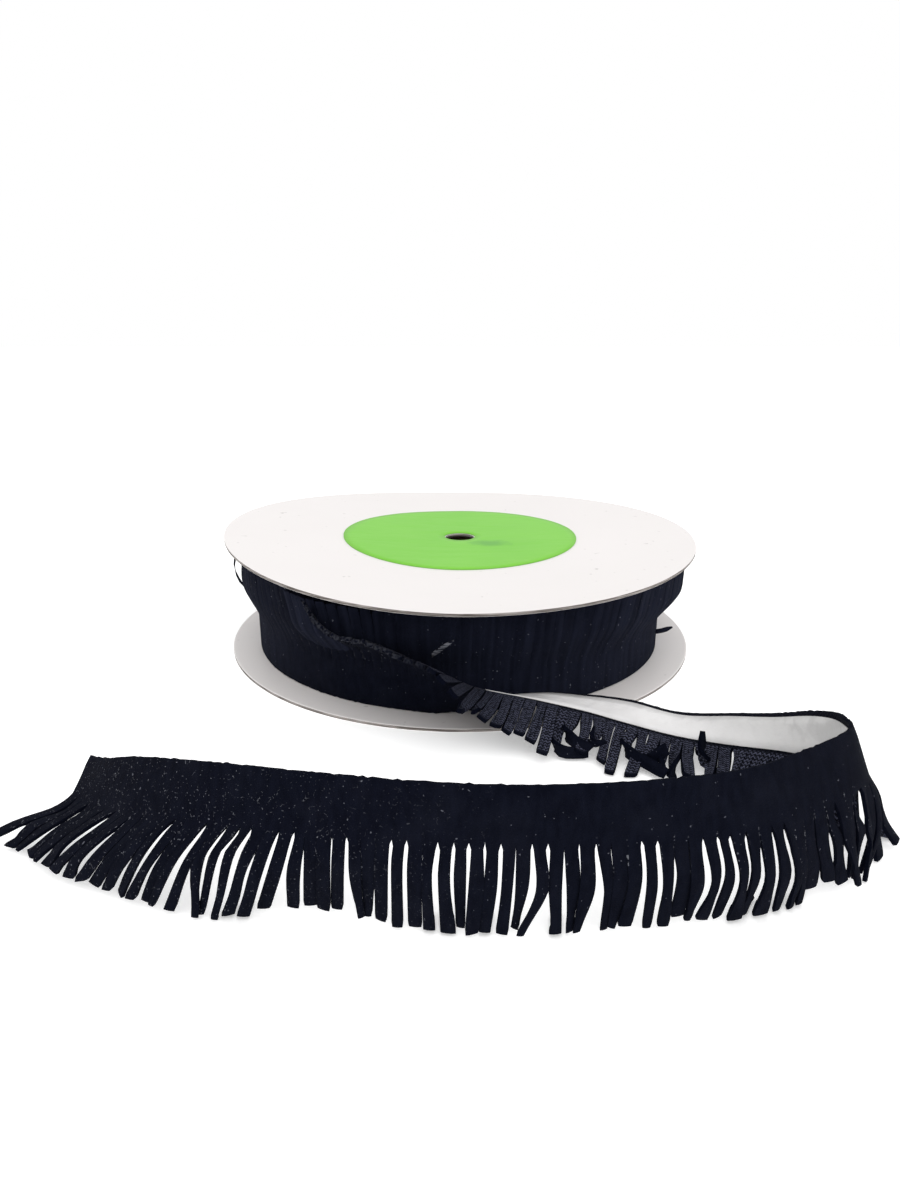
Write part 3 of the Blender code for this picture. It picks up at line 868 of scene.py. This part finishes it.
def turned_edges(number, points):
    """Each row's middle, two directions and width, for a strand that turns over along its points."""
    root, ahead, level, right, down, angles = route.frame((root_of[number] + root_of[number + 1]) / 2)
    stops = [(0.0, root, 0.0)]
    for point in points:
        place = on_ray(point.u, point.v, point.height / 1000)
        run = stops[-1][0] + (place - stops[-1][1]).length
        stops.append((run, place, math.radians(point.roll)))
    room = root_of[number + 1] - root_of[number]
    rows = []
    middles = []
    for i in range(strand_rows + 1):
        here = stops[-1][0] * i / strand_rows
        middles.append(Vector([through(here, [(run, place[axis]) for run, place, roll in stops])
                               for axis in range(3)]))
    for i in range(strand_rows + 1):
        here = stops[-1][0] * i / strand_rows
        low, high = max(i - 1, 0), min(i + 1, strand_rows)
        run = (middles[high] - middles[low]).normalized()
        flat = Vector((0, 0, 1)).cross(run)
        flat = level if flat.length < 0.1 else flat.normalized()
        share = min(1.0, i / 3)
        flat = ahead * (1 - share) + flat * share
        flat = (flat - run * flat.dot(run)).normalized()
        roll = through(here, [(stop[0], stop[2]) for stop in stops])
        face = flat.cross(run).normalized()
        across = flat * math.cos(roll) + face * math.sin(roll)
        width = room if i == 0 else turned_width
        if number in pointed:
            width *= 1.0 - point_narrows * max(0.0, (i / strand_rows - point_from) / (1 - point_from))
        rows.append((middles[i], across, across.cross(run).normalized(), width))
    return rows


def strand_edges(number):
    """Each row's middle, two directions and width, for a strand with its own small bow and twist."""
    if number in turned_points:
        return turned_edges(number, turned_points[number])
    length = strand_reach(number)
    right_edge = slit_side(number, -1, length)
    left_edge = slit_side(number + 1, 1, length)
    told = number in tip_rows
    wound = number < peel_starts
    if told:
        forward = tip_rows[number].forward / 1000
        twist = tip_rows[number].twist + told_twist * seeded(number, 3)
    else:
        forward = (wound_forward if wound else free_forward) * seeded(number, 1)
        twist = (wound_twist if wound else free_twist) * seeded(number, 3)
    plain = route.frame((root_of[number] + root_of[number + 1]) / 2)[2]
    rows = []
    for i in range(strand_rows + 1):
        share = i / strand_rows
        across = left_edge[i] - right_edge[i]
        room = across.length
        if across.dot(plain) < strand_least_width:
            room = strand_least_width
            across = plain.copy()
        across.normalize()
        middle = (left_edge[i] + right_edge[i]) / 2
        low, high = max(i - 1, 0), min(i + 1, strand_rows)
        run = (left_edge[high] + right_edge[high] - left_edge[low] - right_edge[low]).normalized()
        face = across.cross(run).normalized()
        sway = 0.0
        if told:
            width = min(room, told_most_width)
        elif wound:
            width = min(room - wound_slit, wound_most_width)
        else:
            most = wound_most_width if number < evenly_cut[0] else strand_most_width
            width = min(most, room - closed_slit * min(1.0, share * 6))
            sway = free_sway * seeded(number, 2) * math.sin(math.pi * share)
        width = max(width, strand_least_width)
        turn = math.radians(twist) * share * share
        across = across * math.cos(turn) + face * math.sin(turn)
        rows.append((middle + face * forward * share + across * sway, across, face, width if i else room))
    return rows


trim = bmesh.new()
strands_all = wound_strands + loose_strands
all_columns = strands_all * columns_per_strand
all_rows = header_rows + strand_rows
bmesh.ops.create_grid(trim, x_segments=all_columns, y_segments=all_rows, size=0.5)


def trim_column(x):
    return (x + 0.5) * all_columns


def trim_row(y):
    return (0.5 - y) * all_rows


root_of = {n: root_along(n) for n in range(-wound_strands, loose_strands + 1)}


def along_of(column):
    """How far along the cloth a column of the flat sheet stands."""
    whole = min(math.floor(column / columns_per_strand + 0.001), strands_all - 1)
    share = column / columns_per_strand - whole
    start, end = root_of[whole - wound_strands], root_of[whole - wound_strands + 1]
    return start + (end - start) * share


slit_edges = []
for edge in trim.edges:
    ends = [edge.verts[0].co, edge.verts[1].co]
    column = trim_column(ends[0].x)
    same = abs(ends[0].x - ends[1].x) < 0.2 / all_columns
    below = (trim_row(ends[0].y) + trim_row(ends[1].y)) / 2 > header_rows
    if same and below and round(column) % columns_per_strand == 0 and 0 < round(column) < all_columns:
        slit_edges.append(edge)
bmesh.ops.split_edges(trim, edges=slit_edges)
bmesh.ops.reverse_faces(trim, faces=trim.faces)

flat_uv = trim.loops.layers.uv.new("flat")
cut_uv = trim.loops.layers.uv.new("cut")
for face in trim.faces:
    face.smooth = True
    for loop in face.loops:
        column, row = trim_column(loop.vert.co.x), trim_row(loop.vert.co.y)
        along = along_of(column)
        down = (row - header_rows) / strand_rows * strand_length
        if row < header_rows:
            down = (row - header_rows) / header_rows * header_width
        loop[flat_uv].uv = (along, down)
        loop[cut_uv].uv = (column / columns_per_strand, down)

edges = {n: strand_edges(n) for n in range(-wound_strands, loose_strands)}

fullness = trim.verts.layers.deform.new()
strand_of = {}
for face in trim.faces:
    strand = math.floor(trim_column(face.calc_center_median().x) / columns_per_strand) - wound_strands
    for corner in face.verts:
        strand_of[corner] = strand

for corner in trim.verts:
    column, row = trim_column(corner.co.x), trim_row(corner.co.y)
    strand = strand_of[corner]
    if row <= header_rows + 0.01:
        along = along_of(column)
        up = header_width * (1 - row / header_rows)
        curl = 0.0
        if row < 0.5 and along > 0.0:
            curl = -header_curl * min(1.0, along / 0.02)
            up += header_bumps * noise.noise(Vector((along * 1300.0, 0.0, 0.0)))
        swell = header_swell * noise.noise(Vector((along * 90.0, up * 110.0, 5.0))) * clamped(along / 0.03)
        place = route.header_point(along, up, curl + swell)
    else:
        step = round(row - header_rows)
        middle, across, face, width = edges[strand][step]
        lateral = column / columns_per_strand - wound_strands - strand - 0.5
        width *= tip_narrowing if step == strand_rows else 1.0
        cup = strand_cup * (1 - 4 * lateral * lateral) * min(1.0, step / 4)
        place = middle + across * (width * lateral) + face * cup
        if step == strand_rows:
            place += across.cross(face) * (tip_skew * seeded(strand, 4) * lateral)
        place.z = max(place.z, cloth_thick * thin_share(along_of(column)) / 2)
    corner.co = place
    corner[fullness][0] = thin_share(along_of(column))


def loose_share(slit):
    """A strand's number along the loose end, as a share of its first strands."""
    return (slit - wound_strands) * (1.0 / first_strands)


def suede_face():
    finish = Finish("suede_face", 0.95, Specular_IOR_Level=0.03, Sheen_Weight=0.006, Sheen_Roughness=0.6)
    place = finish.place()
    flat = finish.place("UV")
    brushed = finish.grain(finish.scaled(flat, 700.0, 240.0, 1.0), 1.0, 3.0)
    patches = finish.grain(place, 120.0, 2.0)
    nap = finish.grain(place, 3600.0, 3.0, 0.7)
    tone = finish.mix(finish.rise(brushed, 0.35, 0.75), suede_deep, suede_brushed)
    tone = finish.mix(finish.rise(patches, 0.5, 0.8) * 0.4, tone, suede_worn)
    tone = finish.mix(finish.rise(nap, 0.55, 0.85) * 0.4, tone, suede_worn)
    run, down = finish.layer("flat")
    slit = finish.layer("cut")[0]
    # Painted light: the wound strands are painted lighter and bluer, in streaks, to make up for the shade
    # they lie in under the upper disc.
    wound = finish.fall(run * 20.0 + 0.5, 0.3, 1.0)
    streaks = finish.grain(finish.scaled(flat, 500.0, 30.0, 1.0), 1.0, 2.0)
    streaks = finish.ramp(streaks, (0.36, 0.32), (0.70, 1.0))
    tone = finish.mix(wound * streaks * 0.70, tone, suede_wound_painted_light)
    tufts = finish.ramp(finish.grain(place, 34.0, 2.0), (0.45, 0.5), (0.70, 1.0))
    lint = finish.rise(finish.grain(place, 1300.0, 1.0) + tufts * 0.06, 0.79, 0.82)
    tone = finish.mix(lint * 0.8, tone, lint_grey)
    beside = finish.fall(finish.math("PINGPONG", slit, 0.5), 0.0, 0.09)
    # Painted highlight: pale rims at the tips and beside the slits of the peeling strands, for frayed
    # fibre ends catching the light.
    peeling = finish.ramp(loose_share(slit), (0.10, 0.0), (0.16, 1.0), (0.50, 1.0), (0.60, 0.0))
    rim = finish.rise(down * (1.0 / strand_length), 0.965, 0.982) + beside * 0.25
    rim = rim * finish.rise(finish.grain(place, 900.0, 2.0), 0.46, 0.60)
    tone = finish.mix(peeling * rim * finish.math("GREATER_THAN", down, 0.003) * 0.40, tone, lint_and_highlight_pale)
    handled = finish.rise(run * 2.8, 0.72, 0.90)
    thread = finish.math("ABSOLUTE", finish.grain(place, 520.0, 2.0) - 0.5)
    thread = finish.fall(thread, 0.0, 0.010)
    bits = finish.rise(finish.grain(place, 800.0, 1.0), 0.62, 0.68)
    dust = finish.rise(finish.grain(place, 2600.0, 1.0), 0.70, 0.76)
    tone = finish.mix(handled * (thread * bits * 0.55 + dust * 0.45), tone, lint_and_highlight_pale)
    # Painted glints: pale dots beside the slits, just below the header, on the loose end.
    upper = finish.ramp(down * 80.0 + 0.2, (0.10, 0.0), (0.22, 1.0), (0.55, 1.0), (0.90, 0.0))
    highlight_specks = finish.rise(finish.grain(place, 1900.0, 1.0), 0.58, 0.66)
    some = finish.grain(finish.scaled(flat, 300.0, 60.0, 1.0), 1.0, 1.0)
    some = finish.rise(some, 0.50, 0.62)
    loose = finish.rise(run * 2.8, 0.30, 0.40)
    tone = finish.mix(beside * upper * highlight_specks * some * loose * 0.9, tone, lint_and_highlight_pale)
    return finish.wear(tone, finish.bump(nap, 0.00035))


def knit_back():
    finish = Finish("knit_back", 0.9, Specular_IOR_Level=0.06, Sheen_Weight=0.01, Sheen_Roughness=0.6)
    flat = finish.place("UV")
    place = finish.place()
    sway = finish.grain(flat, 900.0, 1.0)
    along, down = finish.layer("flat")
    wale = finish.math("PINGPONG", along * (1.0 / stitch_wide) + (sway - 0.5) * 0.3, 0.5)
    course = (down + (sway - 0.5) * 0.0002) * (1.0 / stitch_tall) + wale * 1.3
    loops = finish.math("ABSOLUTE", finish.math("SINE", course * math.pi))
    stitches = loops * finish.ramp(wale, (0.0, 0.75), (0.20, 1.0))
    hairs = finish.grain(place, 3000.0, 3.0, 0.7)
    knots = finish.grain(place, 1500.0, 1.0)
    shown = finish.rise(stitches + (hairs - 0.5) * 0.5 + (knots - 0.5) * 1.1, 0.60, 0.95)
    tone = finish.mix(shown, knit_furrow, knit_loop)
    tone = finish.mix(finish.math("GREATER_THAN", down, strand_length * 0.965), tone, suede_brushed)
    tone = finish.mix(finish.math("LESS_THAN", down, 0.0016 - header_width), tone, suede_deep)
    beside_root = finish.fall(finish.math("ABSOLUTE", down) * 1000.0, 0.25, 0.5)
    tone = finish.mix(beside_root, tone, suede_deep)
    tone = finish.mix(finish.rise(hairs, 0.4, 0.8) * 0.2, tone, knit_hair)
    first = finish.fall(loose_share(finish.layer("cut")[0]), 0.70, 0.82)
    tone = finish.mix(first * 0.5, tone, suede_brushed)
    relief = finish.bump(stitches, 0.00022)
    return finish.wear(tone, finish.bump(hairs, 0.00015, relief))


def cut_edge():
    finish = Finish("cut_edge", 0.95, Specular_IOR_Level=0.03)
    place = finish.place()
    fibre = finish.grain(place, 3000.0, 3.0, 0.7)
    tone = finish.mix(finish.rise(fibre, 0.45, 0.8), suede_deep, suede_brushed)
    slit = finish.layer("cut")[0]
    # Painted highlight: pale specks on the cut edges of the peeling strands, for frayed fibre ends
    # catching the light.
    peeling = finish.ramp(loose_share(slit), (0.12, 0.0), (0.18, 1.0), (0.55, 1.0), (0.65, 0.0))
    highlight_specks = finish.rise(finish.grain(place, 1300.0, 2.0), 0.42, 0.58)
    tone = finish.mix(peeling * highlight_specks * 0.08, tone, lint_and_highlight_pale)
    return finish.wear(tone, finish.bump(fibre, 0.0003))


def torn_cloth():
    finish = Finish("torn_cloth", 0.95, Specular_IOR_Level=0.05)
    place = finish.place()
    threads = finish.grain(finish.scaled(place, 300.0, 300.0, 2600.0), 1.0, 2.0)
    tone = finish.mix(finish.rise(threads, 0.40, 0.60), suede_worn, torn_pale)
    return finish.wear(tone, finish.bump(threads, 0.0003))


suede_finishes = (suede_face(), knit_back(), cut_edge())


def thicken(piece, thick):
    """Gives a piece its thickness, half to each side."""
    shell = piece.modifiers.new("thickness", "SOLIDIFY")
    shell.thickness = thick
    shell.offset = 0.0
    return shell


trim_piece = save_piece("suede_trim", trim, *suede_finishes)
trim_piece.vertex_groups.new(name="fullness")
trim_shell = thicken(trim_piece, cloth_thick)
trim_shell.material_offset = 1
trim_shell.material_offset_rim = 2
trim_shell.vertex_group = "fullness"
trim_round = trim_piece.modifiers.new("soft_edge", "BEVEL")
trim_round.width = cloth_round
trim_round.segments = 2
trim_round.limit_method = "ANGLE"
trim_round.angle_limit = math.radians(50)
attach(trim_piece, "root")
fringe_nodes = sorted(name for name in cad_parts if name.startswith("fringe_"))
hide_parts("roll", "header", *fringe_nodes)

# Stray ends: short ends of the inner turns' strands that poke out between the outer ones.
# They are the same cloth, cut thin, and held only where they leave the spool.
Stray = namedtuple("Stray", "u v height")
stray_ends = [
    [Stray(656, 631.5, 0.0110), Stray(662, 630.5, 0.0112), Stray(667, 629, 0.0115),
     Stray(672, 627, 0.0119)],
    [Stray(235, 558, 0.0286), Stray(234.5, 566, 0.0258), Stray(236, 573, 0.0234),
     Stray(239.5, 580, 0.0210), Stray(244, 586, 0.0190)],
    [Stray(432, 655, 0.0196), Stray(438, 651, 0.0208), Stray(445, 646, 0.0222),
     Stray(454, 640.5, 0.0237)],
]
stray_width = 0.0013
stray_thick = 0.0007
stray_point = 0.2

strays = bmesh.new()
for end in stray_ends:
    pairs = []
    for i, spot in enumerate(end):
        middle = on_ray(spot.u, spot.v, spot.height)
        half = stray_width / 2 * (stray_point if i == len(end) - 1 else 1.0)
        pairs.append([strays.verts.new(middle + Vector((0.0, 0.0, half * side))) for side in (-1, 1)])
    for before, after in zip(pairs, pairs[1:]):
        strip = strays.faces.new((before[0], after[0], after[1], before[1]))
        strip.smooth = True
        strip.material_index = 1 if end is stray_ends[-1] else 0
stray_piece = save_piece("stray_ends", strays, suede_finishes[0], torn_cloth())
thicken(stray_piece, stray_thick)
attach(stray_piece, "root")
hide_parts("roll")

# Tape: the pale glossy liner of the adhesive on the back of the header.
# It is a film cut a little narrower than the header, and it cockles where the strip bends.
tape_width = 0.0088
tape_thick = 0.00022
tape_margin = 0.0003
tape_lift = 0.00012
tape_cockle = 0.00006
tape_rows = 4
tape_columns = 300
tape_pale = (0.80, 0.79, 0.79)
tape_shade = (0.66, 0.65, 0.65)
# Painted shade: a darker grey for the tape's right end, where the strip turns round.
tape_painted_shade = (0.50, 0.495, 0.49)

tape = bmesh.new()
bmesh.ops.create_grid(tape, x_segments=tape_columns, y_segments=tape_rows, size=0.5)
for corner in tape.verts:
    along = (corner.co.x + 0.5) * route.length
    up = tape_margin + (corner.co.y + 0.5) * tape_width
    swell = tape_cockle * noise.noise(Vector((along * 120.0, up * 160.0, 3.1)))
    corner.co = route.header_point(along, up, -(cloth_thick / 2 + tape_thick / 2 + tape_lift + swell))
for face in tape.faces:
    face.smooth = True


def tape_film():
    finish = Finish("tape_film", 0.22, Specular_IOR_Level=0.5)
    place = finish.place()
    creases = finish.grain(place, 260.0, 3.0)
    cloud = finish.grain(place, 90.0, 2.0)
    tone = finish.mix(finish.rise(cloud, 0.3, 0.7), tape_shade, tape_pale)
    # Painted shade: the tape is painted darker towards its right end, where the strip turns round.
    across = finish.node("ShaderNodeSeparateXYZ", {}, {0: place})
    turned = finish.rise((across - spool_x) * 10.0, 0.55, 0.72)
    tone = finish.mix(turned * 0.8, tone, tape_painted_shade)
    return finish.wear(tone, finish.bump(creases, 0.0005))


tape_piece = save_piece("tape_liner", tape, tape_film())
thicken(tape_piece, tape_thick)
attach(tape_piece, "root")
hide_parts("tape")

# Inner turns: the trim wound beneath the last turn, seen through its slits and over its edge.
# The many turns stand as one dark body with a smooth side.
inner_radius = 0.0384
inner_low = 0.0013
inner_high = 0.0300
inner_outline = [(0.0632, inner_low), (0.0634, root_height), (0.0640, 0.0200), (0.0650, inner_high)]
inner_sides = 316

inner_body = turn_section(
    [(inner_radius, inner_low), *inner_outline, (inner_radius, inner_high)], inner_sides)
inner_piece = save_piece("inner_turns", inner_body, suede_finishes[0])
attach(inner_piece, "root")
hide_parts("roll")

# Floor and light: a plain white floor, and soft white light all round.
# The light is a little stronger from above.
floor_reach = 3.0
floor_white = (0.93, 0.93, 0.93)
floor_glow = 0.33
overhead_strength = 0.85

floor = bmesh.new()
bmesh.ops.create_grid(floor, x_segments=1, y_segments=1, size=floor_reach)
white_floor = Finish("white_floor", 0.9, Emission_Color=(1.0, 1.0, 1.0, 1.0), Emission_Strength=floor_glow)
white_floor.wear(floor_white)
floor_piece = save_piece("floor", floor, white_floor.material)

room = bpy.data.worlds.new("white_room")
room.use_nodes = True
room.node_tree.nodes["Background"].inputs["Color"].default_value = (1.0, 1.0, 1.0, 1.0)
room.node_tree.nodes["Background"].inputs["Strength"].default_value = 1.0
bpy.context.scene.world = room

soft_light = bpy.data.lights.new("overhead_light", "SUN")
soft_light.energy = overhead_strength
soft_light.angle = math.radians(80)
soft_stand = bpy.data.objects.new("overhead_light", soft_light)
soft_stand.rotation_euler = (math.radians(30), math.radians(8), 0.0)
bpy.context.scene.collection.objects.link(soft_stand)
